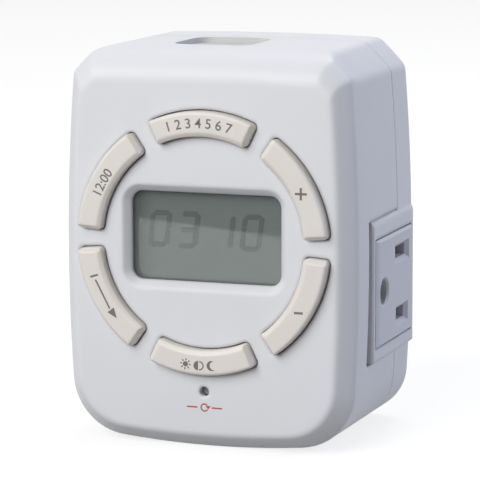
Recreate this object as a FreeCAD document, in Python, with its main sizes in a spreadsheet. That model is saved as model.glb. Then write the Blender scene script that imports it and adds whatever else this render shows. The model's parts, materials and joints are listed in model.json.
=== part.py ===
import FreeCAD, Part
import math
import os
import re
from FreeCAD import Placement, Rotation, Vector

# Plug-in digital timer with a key ring, a window, and a grounded outlet on each side
# Millimetres. X to the right, Y back, Z up; the origin is the middle of the base land
# Depths are given behind the front face, so each helper moves them by half the body's depth

SIZES = {
    # housing
    "body_width": 60.8,
    "body_height": 79.0,
    "body_depth": 44.0,
    "side_bow_radius": 420.0,
    "side_bow_height": 37.0,
    "base_bow_radius": 190.0,
    "top_bow_radius": 700.0,
    "base_land": 13.0,
    "foot_radius": 12.0,
    "foot_rear": 10.0,
    "side_draft": 0.6,
    "wall": 2.0,
    "front_wall": 2.2,
    "bevel_in": 3.0,
    "bevel_deep": 4.0,
    "bevel_front_soft": 1.5,
    "bevel_side_soft": 2.5,
    "crown_high": 6.5,
    "crown_deep": 8.5,
    "rear_soft": 2.0,
    "facet_front": 2.4,
    "facet_wide": 4.4,
    "facet_high": 4.6,
    "facet_rear": 4.8,
    "facet_soft": 3.0,
    "facet_rear_soft": 3.0,
    "facet_bulge_radius": 60.0,
    "parting_depth": 31.4,
    "lip_length": 2.0,
    "lip_thick": 0.9,
    "lip_half": 18.0,
    "fit_gap": 0.15,
    "lip_root": 1.0,
    "weld": 0.3,
    "past": 1.0,
    # key ring
    "ring_lift": 1.8,
    "key_wide": 4.9,
    "ring_side": 4.4,
    "key_half_angle": 25.4,
    "key_gap_angle": 0.5,
    "key_proud": 2.0,
    "key_corner": 1.1,
    "cap_corner": 0.9,
    "cap_end_wide": 1.1,
    "cap_end_deep": 0.8,
    "cap_inner_wide": 0.85,
    "cap_inner_deep": 0.6,
    "cap_outer_edge": 0.4,
    "key_gap": 0.25,
    "key_travel": 0.8,
    "key_flange_lip": 0.9,
    "key_flange_thick": 0.9,
    "key_flange_out": 0.6,
    "key_flange_angle": 2.2,
    "key_flange_front": 2.5,
    "key_stem_radius": 1.8,
    "key_stem_end": 4.9,
    "key_slot_chamfer": 0.3,
    # window and display
    "window_lift": 0.8,
    "window_side": 5.55,
    "window_above": 12.25,
    "window_corner": 2.3,
    "window_bezel": 1.4,
    "window_bezel_deep": 1.6,
    "lens_margin": 1.0,
    "lens_thick": 1.0,
    "display_thick": 2.5,
    "display_glass": 1.1,
    "display_gap": 0.15,
    "display_side": 0.65,
    "display_above": 0.95,
    "display_step": 0.9,
    "display_ledge": 0.8,
    "holder_rim": 0.7,
    "holder_front": 4.6,
    "strip_thick": 1.8,
    "strip_end": 0.5,
    # reset
    "reset_below": 3.6,
    "reset_hole_radius": 1.0,
    "reset_pin_radius": 0.75,
    "reset_recess": 1.5,
    "reset_flange_radius": 1.9,
    "reset_flange_front": 2.3,
    "reset_flange_thick": 0.8,
    "reset_stem_radius": 1.3,
    "reset_stem_end": 5.2,
    "reset_travel": 0.6,
    # top recess
    "recess_wide": 16.2,
    "recess_deep": 16.5,
    "recess_front": 12.0,
    "recess_middle": -3.1,
    "recess_sink": 1.2,
    "recess_floor_thick": 2.0,
    "recess_corner": 3.5,
    # boards
    "board_face": 8.3,
    "board_thick": 1.6,
    "board_side": 5.4,
    "board_below": 4.2,
    "board_above": 10.4,
    "board_notch_gap": 0.6,
    "board_post_angle": 27.0,
    "board_post_gap": 0.33,
    "board_post_radius": 2.25,
    "board_pilot_radius": 0.9,
    "pilot_floor": 0.6,
    "board_screw_radius": 0.85,
    "board_screw_length": 5.5,
    "board_screw_head_radius": 1.9,
    "board_screw_head_thick": 1.2,
    "mat_thick": 1.0,
    "mat_wide": 4.8,
    "dome_radius": 2.2,
    "dome_edge": 0.5,
    "dome_gap": 0.1,
    "reset_dome_radius": 1.8,
    "tongue_wide": 5.6,
    "power_behind": 7.0,
    "power_wide": 32.4,
    "power_tall": 25.0,
    "power_above": 3.6,
    "power_post_across": 26.8,
    "power_post_in": 2.8,
    "power_post_radius": 2.1,
    "power_screw_length": 4.0,
    # parts on the boards
    "chip_side": 12.0,
    "chip_thick": 1.6,
    "chip_pitch": 1.27,
    "chip_pin_wide": 0.5,
    "chip_pin_thick": 0.5,
    "chip_pin_out": 1.0,
    "crystal_radius": 1.5,
    "crystal_long": 8.0,
    "crystal_left": 8.0,
    "crystal_height": 51.8,
    "crystal_lift": 0.1,
    "cell_radius": 5.75,
    "cell_long": 16.5,
    "cell_height": 14.0,
    "cell_lift": 0.4,
    "tab_thick": 0.3,
    "tab_wide": 4.0,
    "relay_wide": 15.8,
    "relay_high": 15.8,
    "relay_deep": 15.3,
    "relay_top": 5.4,
    "relay_left": -0.8,
    "relay_edge": 0.6,
    "parts_gap": 1.0,
    "film_wide": 7.6,
    "film_high": 12.0,
    "film_deep": 13.0,
    "film_top": 0.4,
    "smoothing_radius": 3.1,
    "smoothing_long": 11.0,
    "smoothing_middle": -12.9,
    "smoothing_top": 9.2,
    "varistor_radius": 3.5,
    "varistor_thick": 3.2,
    "varistor_rise": 4.6,
    "varistor_lift": 0.2,
    "link_pitch": 2.54,
    "link_pin": 0.8,
    "link_top": 7.6,
    "link_middle": -10.9,
    "link_block": 2.5,
    # side outlets
    "pad_front": 11.2,
    "pad_groove": 2.4,
    "pad_back": 41.3,
    "pad_below": 13.7,
    "pad_above": 14.9,
    "pad_out": 0.1,
    "pad_edge": 0.9,
    "pad_soft": 0.4,
    "pad_root_in": 3.6,
    "pad_plate_thick": 1.4,
    "pad_plate_lip": 2.5,
    "face_front": 15.1,
    "face_back": 39.3,
    "face_half_high": 10.9,
    "face_proud": 0.45,
    "face_edge": 0.5,
    "face_front_edge": 1.4,
    "face_wall": 2.4,
    "outlet_height": 30.1,
    "outlet_inner_half": 12.0,
    "outlet_flange": 1.9,
    "blade_line": 31.7,
    "blade_spacing": 12.7,
    "ground_offset": 11.9,
    "hot_slot": 6.9,
    "neutral_slot": 8.2,
    "slot_wide": 2.4,
    "slot_lead": 0.8,
    "ground_hole_radius": 2.6,
    "ground_lead": 0.4,
    "ground_room_radius": 3.25,
    "room_margin": 1.4,
    # contacts and plug
    "blade_thick": 1.5,
    "blade_wide": 6.35,
    "blade_out": 17.5,
    "blade_tip": 1.2,
    "blade_hole_radius": 1.6,
    "blade_hole_out": 11.9,
    "ground_pin_radius": 2.38,
    "ground_pin_out": 21.0,
    "ground_pin_tip": 1.6,
    "ground_shank_radius": 1.9,
    "pin_step_deep": 0.5,
    "clip_leaf": 0.6,
    "clip_gap": 1.6,
    "clip_clear": 1.55,
    "clip_foot": 1.2,
    "leaf_wide": 6.0,
    "tube_wall": 0.6,
    "tube_gap": 0.07,
    "tube_slit_start": 4.0,
    "tube_slit_wide": 1.0,
    "ground_plate_high": 5.0,
    "bar_thick": 0.8,
    "bar_wide": 4.0,
    "arm_wide": 3.2,
    "lug_rise": 2.2,
    "bar_gap": 1.2,
    "hot_bar_depth": 27.0,
    "ground_bar_depth": 24.5,
    # housing screws
    "screw_top_side": 9.9,
    "screw_top_above": 6.8,
    "screw_foot_side": 11.4,
    "screw_foot_height": 8.2,
    "front_post_radius": 3.2,
    "rear_post_radius": 4.0,
    "post_gap": 0.2,
    "screw_radius": 1.2,
    "screw_pilot_radius": 1.25,
    "screw_clear_radius": 1.5,
    "screw_head_radius": 2.6,
    "screw_head_thick": 1.8,
    "screw_head_hole_radius": 2.9,
    "screw_sunk": 4.5,
    "screw_length": 16.0,
    "pilot_spare": 2.0,
    "drive_long": 3.0,
    "drive_wide": 0.6,
    "drive_floor": 0.8,
}

# Sizes that follow from those
FOLLOWING = {
    "ring_height": "body_height/2+ring_lift",
    "key_outer": "body_width/2-ring_side",
    "key_inner": "key_outer-key_wide",
    "window_height": "ring_height+window_lift",
    "window_wide": "2*(key_inner-window_side)",
    "window_high": "2*(key_inner-window_above)",
    "reset_height": "ring_height-key_outer-reset_below",
    "board_reach": "key_inner-key_flange_lip-board_post_radius-board_post_gap",
    "board_wide": "body_width-2*board_side",
    "board_low": "reset_height-board_below",
    "board_high": "body_height-board_above",
    "power_face": "body_depth-power_behind",
    "power_high": "body_height-power_above",
    "power_low": "power_high-power_tall",
    "power_post_height": "power_high-power_post_in",
    "power_rest_height": "power_low+power_post_in",
    "relay_low": "power_high-relay_top-relay_high",
    "film_low": "power_high-film_top-film_high",
    "smoothing_height": "power_high-smoothing_top",
    "varistor_height": "power_low+varistor_rise",
    "link_height": "board_high-link_top",
    "pad_low": "outlet_height-pad_below",
    "pad_high": "outlet_height+pad_above",
    "pad_half": "body_width/2+pad_out",
    "pad_root_half": "body_width/2-pad_root_in",
    "plug_height": "outlet_height+ground_offset",
    "clip_end": "pad_half+face_proud-face_wall-clip_clear",
    "neutral_bar_depth": "power_face+board_thick+bar_gap",
    "screw_seat": "body_depth-screw_sunk",
    "screw_top_half": "body_width/2-screw_top_side",
    "screw_foot_half": "body_width/2-screw_foot_side",
    "screw_top_height": "body_height-screw_top_above",
}

doc = FreeCAD.newDocument("digital_timer")
sheet = doc.addObject("Spreadsheet::Sheet", "sizes")
for row, (alias, value) in enumerate(SIZES.items(), 1):
    sheet.set("A%d" % row, alias)
    sheet.set("B%d" % row, str(value))
    sheet.setAlias("B%d" % row, alias)


def cells(formula):
    """The formula with each size's name pointing at its cell"""
    owner = {name: sheet_name for sheet_name, names in (("sizes", SIZES), ("following", FOLLOWING))
             for name in names}
    return re.sub(r"[a-z_]+", lambda word: ".".join((owner[word[0]], word[0])) if word[0] in owner
                  else word[0], str(formula))


following = doc.addObject("Spreadsheet::Sheet", "following")
for row, alias in enumerate(FOLLOWING, 1):
    following.setAlias("B%d" % row, alias)
for row, (alias, formula) in enumerate(FOLLOWING.items(), 1):
    following.set("A%d" % row, alias)
    following.set("B%d" % row, "=" + cells(formula).replace("following.", ""))
doc.recompute()
size = {alias: float(sheet.get(alias)) for alias in SIZES}
size.update({alias: float(following.get(alias)) for alias in FOLLOWING})


def behind(depth):
    """Y of a depth behind the front face"""
    return "(%s)-body_depth/2" % depth


def place(item, x, y, z, turn=Rotation()):
    item.Placement = Placement(Vector(), turn)
    for axis, formula in zip("xyz", (x, behind(y), z)):
        item.setExpression("Placement.Base." + axis, cells(formula))
    return item


def block(name, x, y, z):
    """Box between a low and a high formula on each axis, y in depths"""
    item = doc.addObject("Part::Box", name)
    for side, (low, high) in zip(("Length", "Width", "Height"), (x, y, z)):
        item.setExpression(side, cells("(%s)-(%s)" % (high, low)))
    return place(item, x[0], y[0], z[0])


def rod(name, radius, x, y, z):
    """Cylinder along the one axis that is given as a low and a high formula"""
    item = doc.addObject("Part::Cylinder", name)
    item.setExpression("Radius", cells(radius))
    spans = [isinstance(value, tuple) for value in (x, y, z)]
    along = spans.index(True)
    low, high = (x, y, z)[along]
    item.setExpression("Height", cells("(%s)-(%s)" % (high, low)))
    turn = (Rotation(Vector(0, 1, 0), 90), Rotation(Vector(1, 0, 0), -90), Rotation())[along]
    starts = [value[0] if isinstance(value, tuple) else value for value in (x, y, z)]
    return place(item, *starts, turn)


def sector(name, inner, outer, half_angle, y):
    """Piece of a ring about the key ring's centre, pointing up"""
    full = doc.addObject("Part::Cylinder", name + "_outer")
    full.setExpression("Radius", cells(outer))
    full.setExpression("Angle", cells("2*(%s)" % half_angle))
    full.setExpression("Height", cells("(%s)-(%s)" % (y[1], y[0])))
    turn = Rotation(Vector(1, 0, 0), -90)
    full.Placement = Placement(Vector(), turn)
    doc.recompute()
    spread = full.Angle.Value / 2
    place(full, "0", y[0], "ring_height", turn * Rotation(Vector(0, 0, 1), -90 - spread))
    core = rod(name + "_inner", inner, "0", y, "ring_height")
    return cut(name, full, core)


def join(name, *items):
    item = doc.addObject("Part::MultiFuse", name)
    item.Shapes = list(items)
    item.Refine = True
    return item


def cut(name, base, *tools):
    item = doc.addObject("Part::Cut", name)
    item.Base = base
    item.Tool = tools[0] if len(tools) == 1 else join(name + "_tools", *tools)
    item.Refine = True
    return item


def common(name, base, tool):
    item = doc.addObject("Part::Common", name)
    item.Base = base
    item.Tool = tool
    return item


def group(name, *items):
    """Several solids kept apart under one name"""
    item = doc.addObject("Part::Compound", name)
    item.Links = list(items)
    return item


def spun(name, item, angle):
    """A copy turned clockwise about the key ring's centre"""
    twin = group(name, item)
    twin.Placement = Placement(Vector(), Rotation(Vector(0, 1, 0), angle))
    twin.setExpression("Placement.Base.x", cells("-ring_height*sin(%s)" % angle))
    twin.setExpression("Placement.Base.z", cells("ring_height*(1-cos(%s))" % angle))
    return twin


def opposite(name, item):
    """A copy turned half round about the outlets' height, for the left side"""
    twin = group(name, item)
    twin.Placement = Placement(Vector(), Rotation(Vector(0, 1, 0), 180))
    twin.setExpression("Placement.Base.z", cells("2*outlet_height"))
    return twin


def edges_of(item, test):
    doc.recompute()
    return [number for number, edge in enumerate(item.Shape.Edges, 1) if test(edge)]


def fillet(name, item, radius, test):
    rounded = doc.addObject("Part::Fillet", name)
    rounded.Base = item
    rounded.Edges = [(number, size[radius], size[radius]) for number in edges_of(item, test)]
    return rounded


def chamfer(name, item, first, second, test):
    bevelled = doc.addObject("Part::Chamfer", name)
    bevelled.Base = item
    bevelled.Edges = [(number, size[first], size[second]) for number in edges_of(item, test)]
    return bevelled


def at_depth(edge, depth):
    """True where the whole edge lies at this depth"""
    y = depth - size["body_depth"] / 2
    return abs(edge.BoundBox.YMin - y) < 0.01 and abs(edge.BoundBox.YMax - y) < 0.01


def ahead_of(edge, depth):
    """True where the whole edge lies in front of this depth"""
    return edge.BoundBox.YMax < depth - size["body_depth"] / 2 - 0.01


def runs(edge, axis):
    """True for a straight edge along this axis"""
    box = edge.BoundBox
    spans = {"x": box.XLength, "y": box.YLength, "z": box.ZLength}
    length = spans.pop(axis)
    return length > 0.3 and max(spans.values()) < 0.01


# Housing skin: sections square to Y, each a ring of large arcs joined by corner arcs


def touching_centres(first, second, radius):
    """Centres of the arcs that touch two large arcs from inside"""
    reach_one = first[1] - radius
    reach_two = second[1] - radius
    apart = second[0] - first[0]
    along = (reach_one ** 2 - reach_two ** 2 + apart.Length ** 2) / (2 * apart.Length)
    across = math.sqrt(reach_one ** 2 - along ** 2)
    direction = apart / apart.Length
    side = Vector(-direction.z, 0, direction.x)
    middle = first[0] + direction * along
    return [middle + side * across, middle - side * across]


def nearest(points, guide):
    return min(points, key=lambda point: (point - guide).Length)


def section(depth, half, base, top, foot, facet_wide, facet_high, facet_soft):
    """Closed wire of the housing at this depth, with a facet across each top corner"""
    side_radius = size["side_bow_radius"]
    bulge = size["facet_bulge_radius"]
    right = (Vector(half - side_radius, 0, size["side_bow_height"]), side_radius)
    left = (Vector(side_radius - half, 0, size["side_bow_height"]), side_radius)
    under = (Vector(0, 0, base + size["base_bow_radius"]), size["base_bow_radius"])
    over = (Vector(0, 0, top - size["top_bow_radius"]), size["top_bow_radius"])
    corner = nearest(touching_centres(right, over, 0), Vector(half, 0, top))
    low_end = corner - Vector(0, 0, facet_high)
    high_end = corner - Vector(facet_wide, 0, 0)
    inward = Vector(-facet_high, 0, -facet_wide).normalize()
    sagitta = (high_end - low_end).Length ** 2 / (8 * bulge)
    facet_centre = (low_end + high_end) / 2 + inward * (bulge - sagitta)
    right_facet = (facet_centre, bulge)
    left_facet = (Vector(-facet_centre.x, 0, facet_centre.z), bulge)
    big = [under, right, right_facet, over, left_facet, left]
    radii = [foot, facet_soft, facet_soft, facet_soft, facet_soft, foot]
    right_guides = [Vector(half, 0, base), low_end, high_end]
    left_guides = [Vector(-guide.x, 0, guide.z) for guide in reversed(right_guides)]
    corners = []
    for index, guide in enumerate(right_guides + left_guides):
        first, second = big[index], big[(index + 1) % 6]
        centre = nearest(touching_centres(first, second, radii[index]), guide)
        touches = [ring[0] + (centre - ring[0]).normalize() * ring[1] for ring in (first, second)]
        corners.append((centre, radii[index], touches))
    shift = Vector(0, depth - size["body_depth"] / 2, 0)
    edges = []
    for index, (centre, radius, touches) in enumerate(corners):
        peak = centre + ((touches[0] + touches[1]) / 2 - centre).normalize() * radius
        edges.append(Part.Arc(touches[0] + shift, peak + shift, touches[1] + shift).toShape())
        ring, start = big[(index + 1) % 6], touches[1]
        end = corners[(index + 1) % 6][2][0]
        peak = ring[0] + ((start + end) / 2 - ring[0]).normalize() * ring[1]
        edges.append(Part.Arc(start + shift, peak + shift, end + shift).toShape())
    return Part.Wire(edges)


def outside_steps():
    """Depth and bevel of each section of the outside, with soft edges to the bevel"""
    lean = math.degrees(math.atan2(size["bevel_in"], size["bevel_deep"]))
    turn = 90 - lean
    front, side, rear = size["bevel_front_soft"], size["bevel_side_soft"], size["rear_soft"]
    lead = size["bevel_in"] + front * math.tan(math.radians(turn / 2))
    start = size["bevel_deep"] + side * math.tan(math.radians(lean / 2))
    steps = []
    for share in (0, 0.5, 1):
        angle = math.radians(turn * share)
        steps.append((front * (1 - math.cos(angle)), lead - front * math.sin(angle)))
    first = steps[-1]
    soft = []
    for share in (0, 0.5, 1):
        angle = math.radians(turn + lean * share)
        soft.append((start - side * math.cos(angle), side - side * math.sin(angle)))
    for share in (0.33, 0.67):
        steps.append(tuple(low + (high - low) * share for low, high in zip(first, soft[0])))
    steps += soft
    for share in (0.45, 1):
        steps.append((start + (size["crown_deep"] - start) * share, 0.0))
    for angle in (0, 30, 60, 90):
        depth = size["body_depth"] - rear + rear * math.sin(math.radians(angle))
        steps.append((depth, rear - rear * math.cos(math.radians(angle))))
    return steps


def inside_steps(wall, front_wall):
    """The same for a form drawn in by the wall"""
    slope = size["bevel_in"] / size["bevel_deep"]
    extra = wall * (math.hypot(1, slope) - 1)
    level = (size["bevel_in"] + extra) / slope
    depths = [front_wall, front_wall + 0.3, (front_wall + level) / 2, level]
    depths += [(level + size["crown_deep"]) / 2, size["crown_deep"], size["body_depth"] - wall]
    return [(depth, max(0.0, size["bevel_in"] + extra - slope * depth)) for depth in depths]


def skin(wall=0.0, front_wall=0.0):
    """The housing's outside, or a form drawn in from it by the wall"""
    deep, crown = size["body_depth"], size["crown_deep"]
    steps = inside_steps(wall, front_wall) if wall else outside_steps()
    base_dip = (size["base_land"] / 2) ** 2 / (2 * size["base_bow_radius"])
    sections = []
    for depth, bevel in steps:
        rise = min(1.0, depth / crown)
        late = max(0.0, (depth - crown) / (deep - crown))
        draft = size["side_draft"] * late
        back = max(0.0, (crown - depth) / (crown - front_wall))
        drop = (size["crown_high"] - wall) * (1 - math.sqrt(1 - back ** 2))
        rear_bevel = bevel if depth > crown else 0.0
        wide = size["facet_front"] + (size["facet_wide"] - size["facet_front"]) * rise
        high = size["facet_front"] + (size["facet_high"] - size["facet_front"]) * rise
        wide += (size["facet_rear"] - size["facet_wide"]) * late
        high += (size["facet_rear"] - size["facet_high"]) * late
        reach = wide * high / math.hypot(wide, high)
        keep = max(0.25, 1 - wall * ((wide + high) / math.hypot(wide, high) - 1) / reach)
        soft = 0.9 + (size["facet_soft"] - 0.9) * rise
        soft += (size["facet_rear_soft"] - size["facet_soft"]) * late
        foot = size["foot_radius"] + (size["foot_rear"] - size["foot_radius"]) * late
        sections.append(section(
            depth,
            size["body_width"] / 2 - draft - bevel - wall,
            bevel + wall - base_dip,
            size["body_height"] - drop - rear_bevel - wall,
            foot - bevel / 2 - wall,
            wide * keep, high * keep, max(0.2, soft * keep - wall / 2)))
    return Part.makeLoft(sections, True, True)


def solid(name, shape):
    item = doc.addObject("Part::Feature", name)
    item.Shape = shape
    return item


full_width = ("-body_width", "body_width")
full_height = ("-body_height", "2*body_height")
above_base = block("above_base", full_width, ("-body_depth", "2*body_depth"), ("0", "2*body_height"))
form = common("form", solid("outside", skin()), above_base)
inside = solid("inside", skin(size["wall"], size["front_wall"]))
shell = cut("shell", form, inside)
nodes = {}


def piece(name, item):
    """Marks the finished shape of one piece"""
    item.Label = name
    nodes[name] = item


def screw_places():
    """Name, X and Z of the four housing screws"""
    for side, sign in (("right", ""), ("left", "-")):
        for row in ("top", "foot"):
            yield "%s_%s" % (row, side), "%sscrew_%s_half" % (sign, row), "screw_%s_height" % row


def board_places():
    """Name, X and Z of the four screws that hold the control board"""
    for side, sign in (("right", ""), ("left", "-")):
        for row, lift in (("high", "+"), ("low", "-")):
            yield ("%s_%s" % (row, side), "%sboard_reach*sin(board_post_angle)" % sign,
                   "ring_height%sboard_reach*cos(board_post_angle)" % lift)


# Front housing

front_half = common("front_half", shell,
                    block("front_space", full_width, ("-body_depth", "parting_depth"), full_height))
lip_form = solid("lip_form", skin(size["wall"] - size["lip_thick"], size["front_wall"]))
lip_space = block("lip_space", ("-lip_half", "lip_half"),
                  ("parting_depth-lip_root", "parting_depth+lip_length"), full_height)
lip = cut("lip", common("lip_outside", lip_form, lip_space), inside)
posts = []
pilots = []
for tag, x, z in screw_places():
    posts.append(rod("post_" + tag, "front_post_radius", x, ("front_wall-weld", "parting_depth-post_gap"), z))
    pilots.append(rod("pilot_" + tag, "screw_pilot_radius", x,
                      ("screw_seat-screw_length-pilot_spare", "parting_depth"), z))
for tag, x, z in board_places():
    posts.append(rod("board_post_" + tag, "board_post_radius", x, ("front_wall-weld", "board_face"), z))
    pilots.append(rod("board_pilot_" + tag, "board_pilot_radius", x,
                      ("front_wall+pilot_floor", "board_face+past"), z))
recess_floor = block("recess_floor", ("recess_middle-recess_wide/2-past", "recess_middle+recess_wide/2+past"),
                     ("recess_front-past", "recess_front+recess_deep+past"),
                     ("body_height-recess_sink-recess_floor_thick", "body_height-recess_sink-weld"))
recess = block("recess_box", ("recess_middle-recess_wide/2", "recess_middle+recess_wide/2"),
               ("recess_front", "recess_front+recess_deep"), ("body_height-recess_sink", "body_height+past"))
recess = fillet("recess", recess, "recess_corner", lambda edge: runs(edge, "z"))
key_turns = {"program_key": 0, "plus_key": 60, "minus_key": 120, "mode_key": 180, "resume_key": 240,
             "time_key": 300}
key_slot = sector("key_slot_ring", "key_inner-key_gap", "key_outer+key_gap", "key_half_angle+key_gap_angle",
                  ("-past", "front_wall+past"))
key_slot = fillet("key_slot", key_slot, "key_corner", lambda edge: runs(edge, "y"))
key_slots = [spun("key_slot_%d" % turn, key_slot, turn) for turn in key_turns.values()]
window = block("window_box", ("-window_wide/2", "window_wide/2"), ("-past", "front_wall+past"),
               ("window_height-window_high/2", "window_height+window_high/2"))
window = fillet("window", window, "window_corner", lambda edge: runs(edge, "y"))
reset_hole = rod("reset_hole", "reset_hole_radius", "0", ("-past", "front_wall+past"), "reset_height")
notch = block("notch_right", ("pad_root_half-pad_plate_thick-past", "body_width"),
              ("pad_front", "body_depth"), ("pad_low-fit_gap", "pad_high+fit_gap"))
front_body = join("front_body", front_half, lip, *posts, recess_floor)
front_body = cut("front_cut", front_body, *pilots, recess, *key_slots, window, reset_hole,
                 notch, opposite("notch_left", notch))


def window_rim(edge):
    """Front edges of the window"""
    box = edge.BoundBox
    across = abs(box.Center.x) < size["window_wide"] / 2 + 0.1
    upright = abs(box.Center.z - size["window_height"]) < size["window_high"] / 2 + 0.1
    return at_depth(edge, 0) and across and upright and box.DiagonalLength < size["window_wide"] + 1


def slot_rim(edge):
    """Front edges of the key openings"""
    middle = edge.valueAt((edge.FirstParameter + edge.LastParameter) / 2)
    reach = math.hypot(middle.x, middle.z - size["ring_height"])
    spare = 2 * size["key_gap"]
    on_ring = size["key_inner"] - spare < reach < size["key_outer"] + spare
    return at_depth(edge, 0) and on_ring and edge.Length < size["key_outer"]


front_body = chamfer("front_slots", front_body, "key_slot_chamfer", "key_slot_chamfer", slot_rim)
front_body = chamfer("front_window", front_body, "window_bezel", "window_bezel_deep", window_rim)
piece("front_housing", front_body)

# Rear housing

rear_half = common("rear_half", shell,
                   block("rear_space", full_width, ("parting_depth", "2*body_depth"), full_height))
lip_room_wall = size["wall"] - size["lip_thick"] - size["fit_gap"]
lip_room_form = solid("lip_room_form", skin(lip_room_wall, size["front_wall"]))
lip_room_space = block("lip_room_space", ("-lip_half-fit_gap", "lip_half+fit_gap"),
                       ("parting_depth-past", "parting_depth+lip_length+fit_gap"), full_height)
rear_shell = cut("rear_shell", rear_half, common("lip_room", lip_room_form, lip_room_space))
rear_wall_inside = "body_depth-wall+weld"
pad = block("pad_box", ("pad_root_half-weld", "pad_half"), ("pad_front+pad_groove", "pad_back"),
            ("pad_low", "pad_high"))
pad = chamfer("pad_top", pad, "pad_edge", "pad_edge",
              lambda edge: runs(edge, "y") and edge.BoundBox.ZMin > size["pad_high"] - 0.01
              and edge.BoundBox.XMin > size["pad_half"] - 0.01)
pad = chamfer("pad", pad, "pad_soft", "pad_soft",
              lambda edge: edge.BoundBox.XMin > size["pad_half"] - 0.01
              and edge.BoundBox.ZMax < size["pad_high"] - size["pad_edge"] / 2)
pad_plate = block("pad_plate", ("pad_root_half-pad_plate_thick", "pad_root_half"),
                  ("pad_front-pad_plate_lip", rear_wall_inside),
                  ("pad_low-pad_plate_lip", "pad_high+pad_plate_lip"))
outlet_window = block("outlet_window", ("outlet_inner_half", "body_width"),
                      ("face_front-fit_gap", "face_back+fit_gap"),
                      ("outlet_height-face_half_high-fit_gap", "outlet_height+face_half_high+fit_gap"))
rear_posts = []
rear_holes = []
for tag, x, z in screw_places():
    rear_posts.append(rod("rear_post_" + tag, "rear_post_radius", x, ("parting_depth", rear_wall_inside), z))
    rear_holes.append(rod("screw_hole_" + tag, "screw_clear_radius", x,
                          ("parting_depth-past", "screw_seat+past"), z))
    rear_holes.append(rod("screw_well_" + tag, "screw_head_hole_radius", x,
                          ("screw_seat", "body_depth+past"), z))
for side, sign in (("right", ""), ("left", "-")):
    x = "%spower_post_across/2" % sign
    for row, z in (("post", "power_post_height"), ("rest", "power_rest_height")):
        rear_posts.append(rod("power_%s_%s" % (row, side), "power_post_radius", x,
                              ("power_face+board_thick", rear_wall_inside), z))
    rear_holes.append(rod("power_pilot_" + side, "board_pilot_radius", x,
                          ("power_face", "body_depth-wall-pilot_floor"), "power_post_height"))
    x = "%sblade_spacing/2" % sign
    rear_holes.append(block("blade_slot_" + side,
                            (x + "-blade_thick/2-fit_gap", x + "+blade_thick/2+fit_gap"),
                            ("body_depth-2*wall", "body_depth+past"),
                            ("plug_height-blade_wide/2-fit_gap", "plug_height+blade_wide/2+fit_gap")))
rear_holes.append(rod("pin_hole", "ground_shank_radius+fit_gap", "0",
                      ("body_depth-2*wall", "body_depth+past"), "outlet_height"))
rear_holes.append(rod("pin_step", "ground_pin_radius+fit_gap", "0",
                      ("body_depth-pin_step_deep", "body_depth+past"), "outlet_height"))
rear_body = join("rear_body", rear_shell, pad, opposite("pad_left", pad), pad_plate,
                 opposite("pad_plate_left", pad_plate), *rear_posts)
rear_body = cut("rear_cut", rear_body, outlet_window, opposite("outlet_window_left", outlet_window),
                *rear_holes)
piece("rear_housing", rear_body)

# Window and display

lens = block("lens_plate", ("-window_wide/2-lens_margin", "window_wide/2+lens_margin"),
             ("front_wall", "front_wall+lens_thick"),
             ("window_height-window_high/2-lens_margin", "window_height+window_high/2+lens_margin"))
piece("window_lens", fillet("lens", lens, "window_corner", lambda edge: runs(edge, "y")))
display_face = "front_wall+lens_thick+display_gap"
display_back = display_face + "+display_thick"
display_half = "(window_wide/2+display_side)"
display_rise = "(window_high/2+display_above)"


def on_display(name, y, margin, low_margin=None):
    """Box as wide and high as the display, grown by a margin on every side or less at the foot"""
    low_margin = margin if low_margin is None else low_margin
    return block(name, ("-%s-(%s)" % (display_half, margin), "%s+(%s)" % (display_half, margin)), y,
                 ("window_height-%s-(%s)" % (display_rise, low_margin),
                  "window_height+%s+(%s)" % (display_rise, margin)))


glass_front = on_display("glass_front", (display_face, display_face + "+display_glass"), "0", "-display_step")
glass_rear = on_display("glass_rear", (display_face + "+display_glass", display_back), "0")
piece("lcd_panel", join("lcd", glass_front, glass_rear))
holder = on_display("holder_block", ("holder_front", "board_face"), "fit_gap+holder_rim")
holder_seat = on_display("holder_seat", ("holder_front-past", display_back), "fit_gap")
holder_hole = on_display("holder_hole", (display_back + "-past", "board_face+past"), "-display_ledge")
piece("lcd_holder", cut("holder", holder, holder_seat, holder_hole))
strip_half = "(%s-display_ledge-strip_end)" % display_half
strip_rise = "(%s-display_ledge)" % display_rise
strips = []
for name, low, high in (("low", "-" + strip_rise, "-%s+strip_thick" % strip_rise),
                        ("high", "+%s-strip_thick" % strip_rise, "+" + strip_rise)):
    strips.append(block("strip_" + name, ("-" + strip_half, strip_half), (display_back, "board_face"),
                        ("window_height" + low, "window_height" + high)))
piece("contact_strips", group("strips", *strips))

# Program keys, six alike round the ring

cap_ring = sector("cap_ring", "key_inner", "key_outer", "key_half_angle",
                  ("-key_proud", "key_flange_front+weld"))
cap_plan = fillet("cap_plan", cap_ring, "cap_corner", lambda edge: runs(edge, "y"))
ring_middle = (size["key_inner"] + size["key_outer"]) / 2


def top_arc(edge):
    """Curved edges of a cap's face"""
    return at_depth(edge, -size["key_proud"]) and edge.Curve.TypeId == "Part::GeomCircle"


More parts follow.
